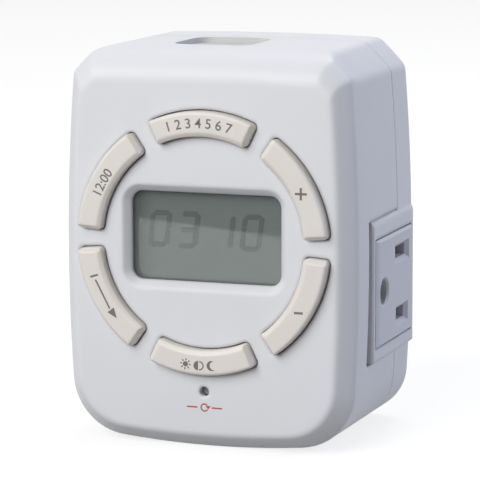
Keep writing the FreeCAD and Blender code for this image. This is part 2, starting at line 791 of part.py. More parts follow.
cap = chamfer("cap_ends", cap_ring, "cap_end_wide", "cap_end_deep",
              lambda edge: at_depth(edge, -size["key_proud"]) and edge.Curve.TypeId == "Part::GeomLine")
cap = chamfer("cap_inner", cap, "cap_inner_wide", "cap_inner_deep",
              lambda edge: top_arc(edge) and edge.Curve.Radius < ring_middle)
cap = chamfer("cap_outer", cap, "cap_outer_edge", "cap_outer_edge",
              lambda edge: top_arc(edge) and edge.Curve.Radius > ring_middle)
flange = sector("key_flange", "key_inner-key_flange_lip", "key_outer+key_flange_out",
                "key_half_angle+key_flange_angle", ("key_flange_front", "key_flange_front+key_flange_thick"))
stem = rod("key_stem", "key_stem_radius", "0", ("key_flange_front", "key_stem_end"),
           "ring_height+(key_inner+key_outer)/2")
key = join("key", common("cap", cap, cap_plan), flange, stem)
for name, turn in key_turns.items():
    piece(name, spun(name + "_turned", key, turn) if turn else key)

# Key membrane and reset button

mat_front = "board_face-mat_thick"
key_circle = "(key_inner+key_outer)/2"
mat = cut("mat",
          rod("mat_outer", key_circle + "+mat_wide/2", "0", (mat_front, "board_face"), "ring_height"),
          rod("mat_inner", key_circle + "-mat_wide/2", "0", (mat_front + "-past", "board_face+past"),
              "ring_height"))
tongue = block("mat_tongue", ("-tongue_wide/2", "tongue_wide/2"), (mat_front, "board_face"),
               ("reset_height-tongue_wide/2", "ring_height-" + key_circle))
domes = []
for turn in key_turns.values():
    domes.append(rod("dome_%d" % turn, "dome_radius", "%s*sin(%d)" % (key_circle, turn),
                     ("key_stem_end+key_travel+dome_gap", mat_front + "+weld"),
                     "ring_height+%s*cos(%d)" % (key_circle, turn)))
domes.append(rod("dome_reset", "reset_dome_radius", "0",
                 ("reset_stem_end+reset_travel+dome_gap", mat_front + "+weld"), "reset_height"))
piece("key_membrane", chamfer("mat_domes", join("mat_body", mat, tongue, *domes), "dome_edge", "dome_edge",
                              lambda edge: ahead_of(edge, size["board_face"] - size["mat_thick"])
                              and edge.BoundBox.YLength < 0.01))
reset_pin = rod("reset_pin", "reset_pin_radius", "0", ("reset_recess", "reset_flange_front+weld"),
                "reset_height")
reset_flange = rod("reset_flange", "reset_flange_radius", "0",
                   ("reset_flange_front", "reset_flange_front+reset_flange_thick"), "reset_height")
reset_stem = rod("reset_stem", "reset_stem_radius", "0", ("reset_flange_front", "reset_stem_end"),
                 "reset_height")
piece("reset_button", join("reset", reset_pin, reset_flange, reset_stem))

# Control board and what it carries

board_back = "board_face+board_thick"
board = block("board_plate", ("-board_wide/2", "board_wide/2"), ("board_face", board_back),
              ("board_low", "board_high"))
through_board = ("board_face-past", board_back + "+past")
board_cuts = []
notch_inner = "(screw_foot_half-front_post_radius-board_notch_gap)"
for side, low, high in (("left", "-board_wide/2-past", "-" + notch_inner),
                        ("right", notch_inner, "board_wide/2+past")):
    board_cuts.append(block("board_notch_" + side, (low, high), through_board,
                            ("board_low-past", "screw_foot_height+front_post_radius+board_notch_gap")))
board_screws = []
for tag, x, z in board_places():
    board_cuts.append(rod("board_hole_" + tag, "board_screw_radius+fit_gap", x, through_board, z))
    board_screws.append(join("board_screw_" + tag,
                             rod("board_head_" + tag, "board_screw_head_radius", x,
                                 (board_back, board_back + "+board_screw_head_thick"), z),
                             rod("board_shank_" + tag, "board_screw_radius", x,
                                 (board_back + "-board_screw_length", board_back + "+weld"), z)))
piece("control_board", cut("board", board, *board_cuts))
piece("board_screws", group("board_screw_set", *board_screws))
chip = block("chip_body", ("-chip_side/2", "chip_side/2"), (board_back, board_back + "+chip_thick"),
             ("ring_height-chip_side/2", "ring_height+chip_side/2"))
pin_deep = (board_back, board_back + "+chip_pin_thick")
pins = []
for count in range(8):
    low = "chip_pitch*%s-chip_pin_wide/2" % (count - 3.5)
    high = "chip_pitch*%s+chip_pin_wide/2" % (count - 3.5)
    pins.append(block("chip_pin_x%d" % count, ("-chip_side/2-chip_pin_out", "chip_side/2+chip_pin_out"),
                      pin_deep, ("ring_height+" + low, "ring_height+" + high)))
    pins.append(block("chip_pin_z%d" % count, (low, high), pin_deep,
                      ("ring_height-chip_side/2-chip_pin_out", "ring_height+chip_side/2+chip_pin_out")))
piece("controller_chip", join("chip", chip, *pins))
crystal_can = rod("crystal_can", "crystal_radius", ("crystal_left", "crystal_left+crystal_long"),
                  board_back + "+crystal_radius+crystal_lift", "crystal_height")
crystal_foot = block("crystal_foot",
                     ("crystal_left+crystal_radius/2", "crystal_left+crystal_long-crystal_radius/2"),
                     (board_back, board_back + "+crystal_radius"),
                     ("crystal_height-crystal_radius/2", "crystal_height+crystal_radius/2"))
piece("crystal", join("crystal_body", crystal_can, crystal_foot))
cell_middle = board_back + "+cell_lift+cell_radius"
cell = rod("cell", "cell_radius", ("-cell_long/2", "cell_long/2"), cell_middle, "cell_height")
piece("backup_battery", cell)
tabs = []
for side, low, high in (("left", "-cell_long/2-tab_thick", "-cell_long/2"),
                        ("right", "cell_long/2", "cell_long/2+tab_thick")):
    tabs.append(block("cell_tab_" + side, (low, high), (board_back, cell_middle + "+tab_wide/4"),
                      ("cell_height-tab_wide/2", "cell_height+tab_wide/2")))
piece("battery_tabs", group("cell_tabs", *tabs))

# Power board and what it carries

power_back = "power_face+board_thick"
power_plate = block("power_plate", ("-power_wide/2", "power_wide/2"), ("power_face", power_back),
                    ("power_low", "power_high"))
power_holes = []
power_screws = []
for side, sign in (("right", ""), ("left", "-")):
    x = "%spower_post_across/2" % sign
    power_holes.append(rod("power_hole_" + side, "board_screw_radius+fit_gap", x,
                           ("power_face-past", power_back + "+past"), "power_post_height"))
    power_screws.append(join("power_screw_" + side,
                             rod("power_head_" + side, "board_screw_head_radius", x,
                                 ("power_face-board_screw_head_thick", "power_face"), "power_post_height"),
                             rod("power_shank_" + side, "board_screw_radius", x,
                                 ("power_face-weld", "power_face+power_screw_length"), "power_post_height")))
piece("power_board", cut("power", power_plate, *power_holes))
piece("power_board_screws", group("power_screw_set", *power_screws))


def case_front(edge):
    """Edges of a case on the power board that don't touch the board"""
    return ahead_of(edge, size["power_face"])


relay = block("relay_case", ("relay_left", "relay_left+relay_wide"), ("power_face-relay_deep", "power_face"),
              ("relay_low", "relay_low+relay_high"))
piece("relay", chamfer("relay_body", relay, "relay_edge", "relay_edge", case_front))
beside_relay = "relay_left-parts_gap"
film = block("film_case", (beside_relay + "-film_wide", beside_relay), ("power_face-film_deep", "power_face"),
             ("film_low", "film_low+film_high"))
piece("film_capacitor", chamfer("film_body", film, "relay_edge", "relay_edge", case_front))
piece("smoothing_capacitor", rod("smoothing", "smoothing_radius", "smoothing_middle",
                                 ("power_face-smoothing_long", "power_face"), "smoothing_height"))
disc = rod("varistor_disc", "varistor_radius", (beside_relay + "-varistor_thick", beside_relay),
           "power_face-varistor_radius-varistor_lift", "varistor_height")
disc_foot = block("varistor_foot", (beside_relay + "-varistor_thick*3/4", beside_relay + "-varistor_thick/4"),
                  ("power_face-varistor_radius", "power_face"),
                  ("varistor_height-varistor_radius/2", "varistor_height+varistor_radius/2"))
piece("varistor", join("varistor_body", disc, disc_foot))
link = []
for row, low, high in (("front", board_back, board_back + "+link_block"),
                       ("rear", "power_face-link_block", "power_face")):
    link.append(block("link_" + row, ("link_middle-2*link_pitch", "link_middle+2*link_pitch"), (low, high),
                      ("link_height-link_block/2", "link_height+link_block/2")))
for count in range(4):
    x = "link_middle+link_pitch*%s" % (count - 1.5)
    link.append(block("link_pin_%d" % count, (x + "-link_pin/2", x + "+link_pin/2"),
                      (board_back, "power_face"), ("link_height-link_pin/2", "link_height+link_pin/2")))
piece("board_link", join("link", *link))

# Side outlets: one moulding on the right, the same turned over on the left

slot_rise = "blade_spacing/2"
moulding = block("outlet_block", ("outlet_inner_half", "pad_root_half-pad_plate_thick"),
                 ("face_front-outlet_flange", "face_back+outlet_flange"),
                 ("outlet_height-face_half_high-outlet_flange", "outlet_height+face_half_high+outlet_flange"))
face = block("outlet_face", ("outlet_inner_half+weld", "pad_half+face_proud"),
             ("face_front+fit_gap", "face_back-fit_gap"),
             ("outlet_height-face_half_high+fit_gap", "outlet_height+face_half_high-fit_gap"))
face_level = size["pad_half"] + size["face_proud"]
face_start = size["face_front"] + size["fit_gap"] - size["body_depth"] / 2


def on_face(edge):
    """Edges of the raised face"""
    return edge.BoundBox.XMin > face_level - 0.01


face = chamfer("outlet_front", face, "face_front_edge", "face_proud",
               lambda edge: on_face(edge) and edge.BoundBox.YMax < face_start + 0.01)
face = chamfer("outlet_edges", face, "face_edge", "face_edge",
               lambda edge: on_face(edge) and edge.BoundBox.YMax > face_start + size["face_front_edge"] + 0.1)
room_across = ("outlet_inner_half-past", "pad_half+face_proud-face_wall")
rooms = []
for name, length, height in (("hot", "hot_slot", "outlet_height-" + slot_rise),
                             ("neutral", "neutral_slot", "outlet_height+" + slot_rise)):
    rooms.append(block("room_" + name, room_across,
                       ("blade_line-%s/2-room_margin" % length, "blade_line+%s/2+room_margin" % length),
                       (height + "-slot_wide/2-room_margin", height + "+slot_wide/2+room_margin")))
    rooms.append(block("slot_" + name, ("outlet_inner_half", "body_width"),
                       ("blade_line-%s/2" % length, "blade_line+%s/2" % length),
                       (height + "-slot_wide/2", height + "+slot_wide/2")))
ground_line = "blade_line-ground_offset"
rooms.append(rod("room_ground", "ground_room_radius", room_across, ground_line, "outlet_height"))
rooms.append(rod("hole_ground", "ground_hole_radius", ("outlet_inner_half", "body_width"), ground_line,
                 "outlet_height"))
outlet = cut("outlet_cut", join("outlet_solid", moulding, face), *rooms)
outlet = chamfer("outlet_slots", outlet, "slot_lead", "slot_lead",
                 lambda edge: on_face(edge) and edge.Curve.TypeId == "Part::GeomLine"
                 and edge.Length < size["neutral_slot"] + 0.1)
outlet = chamfer("outlet", outlet, "ground_lead", "ground_lead",
                 lambda edge: on_face(edge) and edge.Curve.TypeId == "Part::GeomCircle")
piece("receptacle_right", outlet)
piece("receptacle_left", opposite("outlet_left", outlet))

# Contacts: each bar carries a clip behind the same slot of both outlets


def blade_clip(name, height, back, front):
    """Two leaves on a foot, with the plate that carries it"""
    leaf_deep = ("blade_line-leaf_wide/2", "blade_line+leaf_wide/2")
    leaves = []
    for tag, near, far in (("low", "-clip_gap/2-clip_leaf", "-clip_gap/2"),
                           ("high", "+clip_gap/2", "+clip_gap/2+clip_leaf")):
        leaves.append(block("%s_leaf_%s" % (name, tag), ("outlet_inner_half", "clip_end"), leaf_deep,
                            (height + near, height + far)))
    foot = block(name + "_foot", ("outlet_inner_half", "outlet_inner_half+clip_foot"), leaf_deep,
                 (height + "-clip_gap/2-clip_leaf", height + "+clip_gap/2+clip_leaf"))
    plate = block(name + "_plate", ("outlet_inner_half-clip_foot", "outlet_inner_half"), (front, back),
                  (height + "-arm_wide/2", height + "+arm_wide/2"))
    return join(name, *leaves, foot, plate)


def blade_bar(name, level, side, lug_depth):
    """Strap from one outlet's clip to the other, with a tail up to the power board"""
    first, last = (level, level + "+bar_thick")
    right_height = "outlet_height%s%s" % (side, slot_rise)
    left_height = "outlet_height%s%s" % ("-" if side == "+" else "+", slot_rise)
    middle = "blade_spacing/2" if side == "-" else "-blade_spacing/2"
    across = (middle + "-bar_wide/2", middle + "+bar_wide/2")
    upright = block(name + "_upright", across, (first, last),
                    ("outlet_height-%s-arm_wide/2" % slot_rise, "power_low+lug_rise"))
    right_arm = block(name + "_right_arm", (middle, "outlet_inner_half"), (first, last),
                      (right_height + "-arm_wide/2", right_height + "+arm_wide/2"))
    left_arm = block(name + "_left_arm", ("-outlet_inner_half", middle), (first, last),
                     (left_height + "-arm_wide/2", left_height + "+arm_wide/2"))
    lug = block(name + "_lug", across, lug_depth, ("power_low+lug_rise-bar_thick", "power_low+lug_rise"))
    return [upright, right_arm, left_arm, lug]


neutral_clip = blade_clip("neutral_clip", "outlet_height+" + slot_rise, "neutral_bar_depth+bar_thick",
                          "blade_line-leaf_wide/2")
piece("neutral_bar", join("neutral", neutral_clip, opposite("neutral_clip_left", neutral_clip),
                          *blade_bar("neutral_strap", "neutral_bar_depth", "+",
                                     (power_back, "neutral_bar_depth+weld"))))
hot_clip = blade_clip("hot_clip", "outlet_height-" + slot_rise, "blade_line+leaf_wide/2", "hot_bar_depth")
piece("hot_bar", join("hot", hot_clip, opposite("hot_clip_left", hot_clip),
                      *blade_bar("hot_strap", "hot_bar_depth", "-", ("hot_bar_depth", "power_face"))))
tube_bore = "ground_pin_radius+tube_gap"
tube = cut("ground_tube",
           rod("tube_outer", tube_bore + "+tube_wall", ("outlet_inner_half", "clip_end"), ground_line,
               "outlet_height"),
           rod("tube_bore", tube_bore, ("outlet_inner_half+clip_foot", "clip_end+past"), ground_line,
               "outlet_height"),
           block("tube_slit", ("outlet_inner_half+tube_slit_start", "clip_end+past"),
                 (ground_line + "-2*ground_pin_radius", ground_line + "+2*ground_pin_radius"),
                 ("outlet_height-tube_slit_wide/2", "outlet_height+tube_slit_wide/2")))
ground_plate = block("ground_plate", ("outlet_inner_half-clip_foot", "outlet_inner_half"),
                     ("%s-%s-tube_wall" % (ground_line, tube_bore), "ground_bar_depth+bar_thick"),
                     ("outlet_height-ground_plate_high/2", "outlet_height+ground_plate_high/2"))
ground_clip = join("ground_clip", tube, ground_plate)
ground_strap = block("ground_strap", ("-outlet_inner_half", "outlet_inner_half"),
                     ("ground_bar_depth", "ground_bar_depth+bar_thick"),
                     ("outlet_height-bar_wide/2", "outlet_height+bar_wide/2"))
piece("ground_bar", join("ground", ground_clip, opposite("ground_clip_left", ground_clip), ground_strap))

# Plug at the back


def plug_blade(name, x, root):
    """Blade from its root out of the rear wall, with a bevelled tip and a hole"""
    blade = block(name + "_plate", (x + "-blade_thick/2", x + "+blade_thick/2"),
                  (root, "body_depth+blade_out"), ("plug_height-blade_wide/2", "plug_height+blade_wide/2"))
    tip = size["body_depth"] / 2 + size["blade_out"]
    blade = chamfer(name + "_tip", blade, "blade_tip", "blade_tip",
                    lambda edge: runs(edge, "x") and edge.BoundBox.YMin > tip - 0.01)
    hole = rod(name + "_hole", "blade_hole_radius", (x + "-blade_thick/2-past", x + "+blade_thick/2+past"),
               "body_depth+blade_hole_out", "plug_height")
    return cut(name + "_blade", blade, hole)


hot_across = ("blade_spacing/2-bar_wide/2", "blade_spacing/2+bar_wide/2")
hot_top = "power_low+lug_rise"
hot_root = block("hot_root", hot_across, ("neutral_bar_depth", "neutral_bar_depth+bar_thick"),
                 ("plug_height-blade_wide/2", hot_top))
hot_lug = block("hot_lug", hot_across, (power_back, "neutral_bar_depth+weld"),
                (hot_top + "-bar_thick", hot_top))
piece("hot_blade", join("hot_blade_body", plug_blade("hot", "blade_spacing/2", "neutral_bar_depth"), hot_root,
                        hot_lug))
piece("neutral_blade", plug_blade("neutral", "-blade_spacing/2", "neutral_bar_depth+bar_thick"))
shank = rod("pin_shank", "ground_shank_radius", "0", ("ground_bar_depth+bar_thick", "body_depth+weld"),
            "outlet_height")
pin = rod("pin_rod", "ground_pin_radius", "0", ("body_depth", "body_depth+ground_pin_out"), "outlet_height")
pin_end = size["body_depth"] / 2 + size["ground_pin_out"]
pin = fillet("pin", pin, "ground_pin_tip", lambda edge: edge.BoundBox.YMin > pin_end - 0.01)
piece("ground_pin", join("pin_body", shank, pin))

# Housing screws

screws = []
for tag, x, z in screw_places():
    head = rod("head_" + tag, "screw_head_radius", x, ("screw_seat", "screw_seat+screw_head_thick"), z)
    shank = rod("shank_" + tag, "screw_radius", x, ("screw_seat-screw_length", "screw_seat+weld"), z)
    long_x, thin_x = [(x + "-%s/2" % width, x + "+%s/2" % width) for width in ("drive_long", "drive_wide")]
    long_z, thin_z = [(z + "-%s/2" % width, z + "+%s/2" % width) for width in ("drive_long", "drive_wide")]
    drive_deep = ("screw_seat+drive_floor", "body_depth")
    drive = [block("drive_across_" + tag, long_x, drive_deep, thin_z),
             block("drive_upright_" + tag, thin_x, drive_deep, long_z)]
    screws.append(cut("screw_" + tag, join("screw_solid_" + tag, head, shank), *drive))
piece("housing_screws", group("screw_set", *screws))

# Check and write

doc.recompute()
bad = [item.Name for item in doc.Objects if "Invalid" in item.State or "Error" in item.State]
for name, item in nodes.items():
    if item.Shape.isNull() or not item.Shape.isValid() or not item.Shape.Solids:
        bad.append(name)
if bad:
    raise RuntimeError("not built: " + ", ".join(bad))
os.makedirs("parts", exist_ok=True)
for name, item in nodes.items():
    item.Shape.exportStep("parts/%s.step" % name)
    print(name, len(item.Shape.Solids), round(item.Shape.Volume, 1))
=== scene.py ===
import json
import math

import bpy
from mathutils import Matrix, Vector

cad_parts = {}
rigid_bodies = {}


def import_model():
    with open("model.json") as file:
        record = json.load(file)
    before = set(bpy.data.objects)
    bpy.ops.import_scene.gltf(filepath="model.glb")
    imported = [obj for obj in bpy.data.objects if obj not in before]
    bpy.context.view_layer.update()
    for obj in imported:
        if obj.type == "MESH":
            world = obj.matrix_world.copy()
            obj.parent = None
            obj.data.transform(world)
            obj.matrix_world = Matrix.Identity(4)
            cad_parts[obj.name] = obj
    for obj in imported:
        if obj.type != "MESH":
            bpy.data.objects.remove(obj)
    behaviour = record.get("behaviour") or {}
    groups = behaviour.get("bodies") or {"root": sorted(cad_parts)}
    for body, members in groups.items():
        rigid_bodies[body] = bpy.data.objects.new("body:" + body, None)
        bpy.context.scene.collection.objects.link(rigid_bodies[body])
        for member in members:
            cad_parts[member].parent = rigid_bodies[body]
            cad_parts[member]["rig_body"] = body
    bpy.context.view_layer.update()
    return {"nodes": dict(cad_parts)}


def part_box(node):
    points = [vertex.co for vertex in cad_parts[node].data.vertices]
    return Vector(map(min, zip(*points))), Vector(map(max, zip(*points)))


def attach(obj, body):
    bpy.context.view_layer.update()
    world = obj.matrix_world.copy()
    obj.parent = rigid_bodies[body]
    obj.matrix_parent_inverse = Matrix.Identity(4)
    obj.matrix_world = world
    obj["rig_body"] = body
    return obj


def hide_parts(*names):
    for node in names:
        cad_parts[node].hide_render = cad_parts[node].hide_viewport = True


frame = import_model()

# Rear housing: the back half of the case with the plate round each outlet
# Injection moulded ABS, cool off-white with a fine satin texture
# It carries the plug, the outlets and the power board

MM = 0.001


def srgb(code, alpha=1.0):
    """A hex colour as linear values"""
    channels = [int(code[place:place + 2], 16) / 255 for place in (1, 3, 5)]
    return tuple(c / 12.92 if c <= 0.04045 else ((c + 0.055) / 1.055) ** 2.4 for c in channels) + (alpha,)


def add_node(tree, kind, values=None, links=None, **settings):
    """One shader node with its settings, socket values and incoming links"""
    node = tree.nodes.new(kind)
    for name, value in settings.items():
        setattr(node, name, value)
    for socket, value in (values or {}).items():
        node.inputs[socket].default_value = value
    for socket, (source, output) in (links or {}).items():
        tree.links.new(source.outputs[output], node.inputs[socket])
    return node


def surface(name, **values):
    """A material with its principled shader's own values, and its tree and shader"""
    material = bpy.data.materials.new(name)
    material.use_nodes = True
    shader = material.node_tree.nodes["Principled BSDF"]
    for socket, value in values.items():
        shader.inputs[socket.replace("_", " ")].default_value = value
    return material, material.node_tree, shader


# Slow clouds of tone this wide, a gloss that wanders by this share, and how strongly the grain shows
CLOUD, GLOSS_DRIFT, GRAIN_STRENGTH = 14 * MM, 0.15, 0.35


def grained(material, code, roughness, grain, depth, drift=0.012, stretch=(1, 1, 1)):
    """Gives a material a grain of this size in metres, drawn out by stretch, over slow clouds of tone"""
    tree, shader = material.node_tree, material.node_tree.nodes["Principled BSDF"]
    place = add_node(tree, "ShaderNodeTexCoord")
    drawn = add_node(tree, "ShaderNodeMapping", {"Scale": stretch}, {"Vector": (place, "Object")})
    fine = add_node(tree, "ShaderNodeTexNoise", {"Scale": 1 / grain, "Detail": 2.0}, {"Vector": (drawn, "Vector")})
    clouds = add_node(tree, "ShaderNodeTexNoise", {"Scale": 1 / CLOUD, "Detail": 1.0}, {"Vector": (drawn, "Vector")})
    tone = add_node(tree, "ShaderNodeMapRange", {"To Min": 1 - drift, "To Max": 1 + drift}, {"Value": (clouds, "Fac")})
    gloss = add_node(tree, "ShaderNodeMapRange",
                     {"To Min": roughness * (1 - GLOSS_DRIFT), "To Max": roughness * (1 + GLOSS_DRIFT)},
                     {"Value": (fine, "Fac")})
    colour = add_node(tree, "ShaderNodeHueSaturation", {"Color": srgb(code)}, {"Value": (tone, "Result")})
    bump = add_node(tree, "ShaderNodeBump", {"Strength": GRAIN_STRENGTH, "Distance": depth}, {"Height": (fine, "Fac")})
    for source, output, socket in ((colour, "Color", "Base Color"), (gloss, "Result", "Roughness"),
                                   (bump, "Normal", "Normal")):
        tree.links.new(source.outputs[output], shader.inputs[socket])
    return material


def moulded(name, code, roughness, grain, depth, drift=0.012):
    """Moulded plastic: the grain that spark erosion left in the mould, over faint flow clouds"""
    return grained(surface(name, IOR=1.52)[0], code, roughness, grain, depth, drift)


def soft_arris(material, radius):
    """A mould has no sharp arrises: the light rolls over every edge within this radius"""
    arris = add_node(material.node_tree, "ShaderNodeBevel", {"Radius": radius}, samples=8)
    material.node_tree.links.new(arris.outputs["Normal"], material.node_tree.nodes["Bump"].inputs["Normal"])


def only(piece):
    """Selects this piece alone"""
    bpy.ops.object.select_all(action="DESELECT")
    piece.select_set(True)
    bpy.context.view_layer.objects.active = piece


# Corners this near are one, faces this near to level are one plane, and a flatter edge than this is shaded smooth
# The large faces rule the shading at their corners in full, so that they look flat
SAME_CORNER, SAME_PLANE, SMOOTH_BELOW = 0.002 * MM, math.radians(0.2), math.radians(35)
LARGE_FACES_RULE = 100


def dress(node, finish, edge=0.0, rounds=2, share=None):
    """A merged copy of a CAD piece which stands for it, its edges softened this wide, or by share of each edge"""
    source = frame["nodes"][node]
    piece = bpy.data.objects.new(node + "_finished", source.data.copy())
    bpy.context.scene.collection.objects.link(piece)
    only(piece)
    bpy.ops.mesh.customdata_custom_splitnormals_clear()
    bpy.ops.object.mode_set(mode="EDIT")
    bpy.ops.mesh.select_all(action="SELECT")
    bpy.ops.mesh.remove_doubles(threshold=SAME_CORNER)
    bpy.ops.mesh.dissolve_limited(angle_limit=SAME_PLANE, delimit={"NORMAL"})
    bpy.ops.object.mode_set(mode="OBJECT")
    if share:
        amount = piece.data.attributes.new("bevel_weight_edge", "FLOAT", "EDGE")
        ends = [[piece.data.vertices[corner].co for corner in line.vertices] for line in piece.data.edges]
        amount.data.foreach_set("value", [share(*pair) for pair in ends])
    if edge:
        soften = piece.modifiers.new("soft_edges", "BEVEL")
        soften.width = edge
        soften.segments = rounds
        soften.limit_method = "WEIGHT" if share else "ANGLE"
        soften.angle_limit = SMOOTH_BELOW
        bpy.ops.object.modifier_apply(modifier="soft_edges")
    bpy.ops.object.shade_smooth_by_angle(angle=SMOOTH_BELOW)
    even = piece.modifiers.new("even_normals", "WEIGHTED_NORMAL")
    even.keep_sharp = True
    even.weight = LARGE_FACES_RULE
    bpy.ops.object.modifier_apply(modifier="even_normals")
    piece.data.materials.clear()
    piece.data.materials.append(finish)
    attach(piece, source["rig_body"])
    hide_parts(node)
    return piece


# Moulded ABS: the grain breaks up the gloss and makes the case look satin
# The real grain is finer, and is drawn at a third of a millimetre so that it shows
case_plastic = moulded("satin_abs_off_white", "#dcdde1", 0.46, 0.35 * MM, 0.02 * MM)
soft_arris(case_plastic, 1.3 * MM)
dress("rear_housing", case_plastic)

# Plug: two blades and a ground pin that stand out of the rear wall
# Stamped and turned brass under bright nickel plate
# Inside, the hot blade runs up to the power board, and the neutral blade and the pin end on their bars


def metal(name, code, roughness, grain, stretch, drift=0.05):
    """Metal whose rolled, drawn or plated grain shows as streaks in its gloss"""
    scratch_depth = 0.002 * MM
    return grained(surface(name, Metallic=1.0)[0], code, roughness, grain, scratch_depth, drift, stretch)


# Bright nickel over rolled brass: a warm mirror, faintly streaked along the blades
plate_metal = metal("nickel_plated_brass", "#cfcabd", 0.22, 0.25 * MM, (1, 0.06, 1), 0.03)
for name in ("hot_blade", "neutral_blade", "ground_pin"):
    dress(name, plate_metal, edge=0.12 * MM)

# Contact bars: brass strip with a spring clip behind each slot of the outlets
# Rolled, stamped and bent; hot and neutral run up to the power board, and ground runs straight across


def finish_node(node, finish):
    """A CAD piece whose shape stays as it is, in its finish"""
    piece = frame["nodes"][node]
    piece.data.materials.clear()
    piece.data.materials.append(finish)


# Rolled brass: yellow, streaked along the strip, with broad clouds of tarnish
strip_brass = metal("rolled_brass_strip", "#c9a452", 0.34, 0.3 * MM, (1, 1, 0.06), 0.1)
for name in ("neutral_bar", "hot_bar", "ground_bar"):
    finish_node(name, strip_brass)

# Outlets: one grounded outlet in each side, with a raised plate and a lead-in round each slot
# Moulded nylon, a little greyer than the case and with the same satin

# Nylon: a little bluer than the case, with the same fine grain, a little shallower
outlet_plastic = moulded("satin_nylon_light_grey", "#cfd0d8", 0.46, 0.35 * MM, 0.015 * MM)
for name in ("receptacle_right", "receptacle_left"):
    dress(name, outlet_plastic)

# Power board: glass-epoxy board with the relay, the capacitors and the varistor
# Green solder mask over copper; each part on it is a moulded, dipped or drawn case

# Green solder mask: glossy, and lighter over the copper tracks, half a millimetre wide and one pitch apart
PITCH, TRACK = 2.54 * MM, 0.5 * MM
MASK_GREEN, TRACK_GREEN = "#1f5a38", "#3f8a58"
solder_mask = moulded("green_solder_mask", MASK_GREEN, 0.32, 0.8 * MM, 0.004 * MM)
mask_tree = solder_mask.node_tree
mask_place = add_node(mask_tree, "ShaderNodeTexCoord")
mask_flat = add_node(mask_tree, "ShaderNodeMapping", {"Rotation": (math.radians(90), 0, 0)},
                     {"Vector": (mask_place, "Object")})
tracks = add_node(mask_tree, "ShaderNodeTexBrick",
                  {"Color1": srgb(MASK_GREEN), "Color2": srgb(MASK_GREEN), "Mortar": srgb(TRACK_GREEN), "Scale": 1.0,
                   "Mortar Size": TRACK / 2, "Brick Width": 4 * PITCH, "Row Height": PITCH},
                  {"Vector": (mask_flat, "Vector")})
mask_tree.links.new(tracks.outputs["Color"], mask_tree.nodes["Hue/Saturation/Value"].inputs["Color"])
# Moulded and dipped cases: smooth and glossy, the dipped one with a slow ripple where the coat ran
relay_case = moulded("blue_relay_case", "#22469c", 0.3, 1.2 * MM, 0.004 * MM)
film_case = moulded("yellow_film_case", "#cf9f2a", 0.35, 1.0 * MM, 0.006 * MM)
dipped_coat = moulded("blue_dipped_epoxy", "#1c4f96", 0.22, 2.0 * MM, 0.03 * MM)
# Drawn aluminium: grey and soft in its gloss, with streaks along the draw
drawn_can = metal("drawn_aluminium_can", "#b9bbbe", 0.34, 0.3 * MM, (1, 1, 0.08))
board_parts = {"power_board": solder_mask, "relay": relay_case, "film_capacitor": film_case,
               "varistor": dipped_coat, "smoothing_capacitor": drawn_can}
for name, finish in board_parts.items():
    finish_node(name, finish)

# Control board: carries the chip, the clock crystal, the backup cell and the key contacts
# The same green board; black epoxy chip, sleeved cell between two sprung steel tabs

# Filled epoxy is dull and sandy, the shrunk sleeve is smooth with long ripples
chip_epoxy = moulded("black_epoxy_chip", "#1d1e20", 0.5, 0.3 * MM, 0.01 * MM, 0.04)
cell_sleeve = moulded("green_cell_sleeve", "#3d7d56", 0.28, 3.0 * MM, 0.01 * MM, 0.04)
# Zinc plate: bluish grey metal in a fine spangle
zinc_steel = metal("zinc_plated_steel", "#b4b6ba", 0.3, 0.4 * MM, (1, 1, 1), 0.08)
# Charcoal moulding: a plain dark plastic, dull under its fine grain
dark_moulding = moulded("charcoal_moulding", "#2b2c2f", 0.5, 0.4 * MM, 0.01 * MM)
control_parts = {"control_board": solder_mask, "controller_chip": chip_epoxy, "crystal": drawn_can,
                 "backup_battery": cell_sleeve, "battery_tabs": zinc_steel, "board_screws": zinc_steel,
                 "power_board_screws": zinc_steel, "board_link": dark_moulding}
for name, finish in control_parts.items():
    finish_node(name, finish)

# Display: liquid crystal glass in a dark frame, joined to the board by two contact strips
# Grey-green reflective glass with faint dark digits, behind a clear window
# The digits are thin plates of darkened crystal laid on the glass

# Layered rubber: dark conducting sheets in pink rubber show as stripes across the strip
# The real sheets lie closer, and are drawn half a millimetre apart so that they show
# A band pattern repeats each pi / 10 over its scale
LAYER, DARK_LAYER, PINK_LAYER = 0.5 * MM, "#5a4148", "#d39aab"
# Sockets of a node that mixes two colours: share of the second, first, second, and the result
MIX_SHARE, MIX_FIRST, MIX_SECOND, MIX_RESULT = 0, 6, 7, 2
contact_rubber = moulded("layered_contact_rubber", PINK_LAYER, 0.6, 0.2 * MM, 0.01 * MM, 0.04)
rubber_tree = contact_rubber.node_tree
rubber_place = add_node(rubber_tree, "ShaderNodeTexCoord")
layers = add_node(rubber_tree, "ShaderNodeTexWave", {"Scale": math.pi / 10 / LAYER, "Distortion": 0.0},
                  {"Vector": (rubber_place, "Object")}, wave_type="BANDS", bands_direction="X")
layer_tint = add_node(rubber_tree, "ShaderNodeMix", {MIX_FIRST: srgb(DARK_LAYER), MIX_SECOND: srgb(PINK_LAYER)},
                      {MIX_SHARE: (layers, "Fac")}, data_type="RGBA")
rubber_tree.links.new(layer_tint.outputs[MIX_RESULT], rubber_tree.nodes["Hue/Saturation/Value"].inputs["Color"])


def crystal_glass(name, code, drift):
    """Liquid crystal glass: mirror smooth, with the faint mottle of the reflector behind it"""
    glass = surface(name, IOR=1.6, Specular_IOR_Level=0.9, Coat_Weight=1.0, Coat_IOR=1.6, Coat_Roughness=0.015)[0]
    return grained(glass, code, 0.03, 0.5 * MM, 0.0001 * MM, drift)


# The crystal at rest is grey-green, as the reflector shows through it
display_glass = crystal_glass("reflective_liquid_crystal_glass", "#69726f", 0.02)
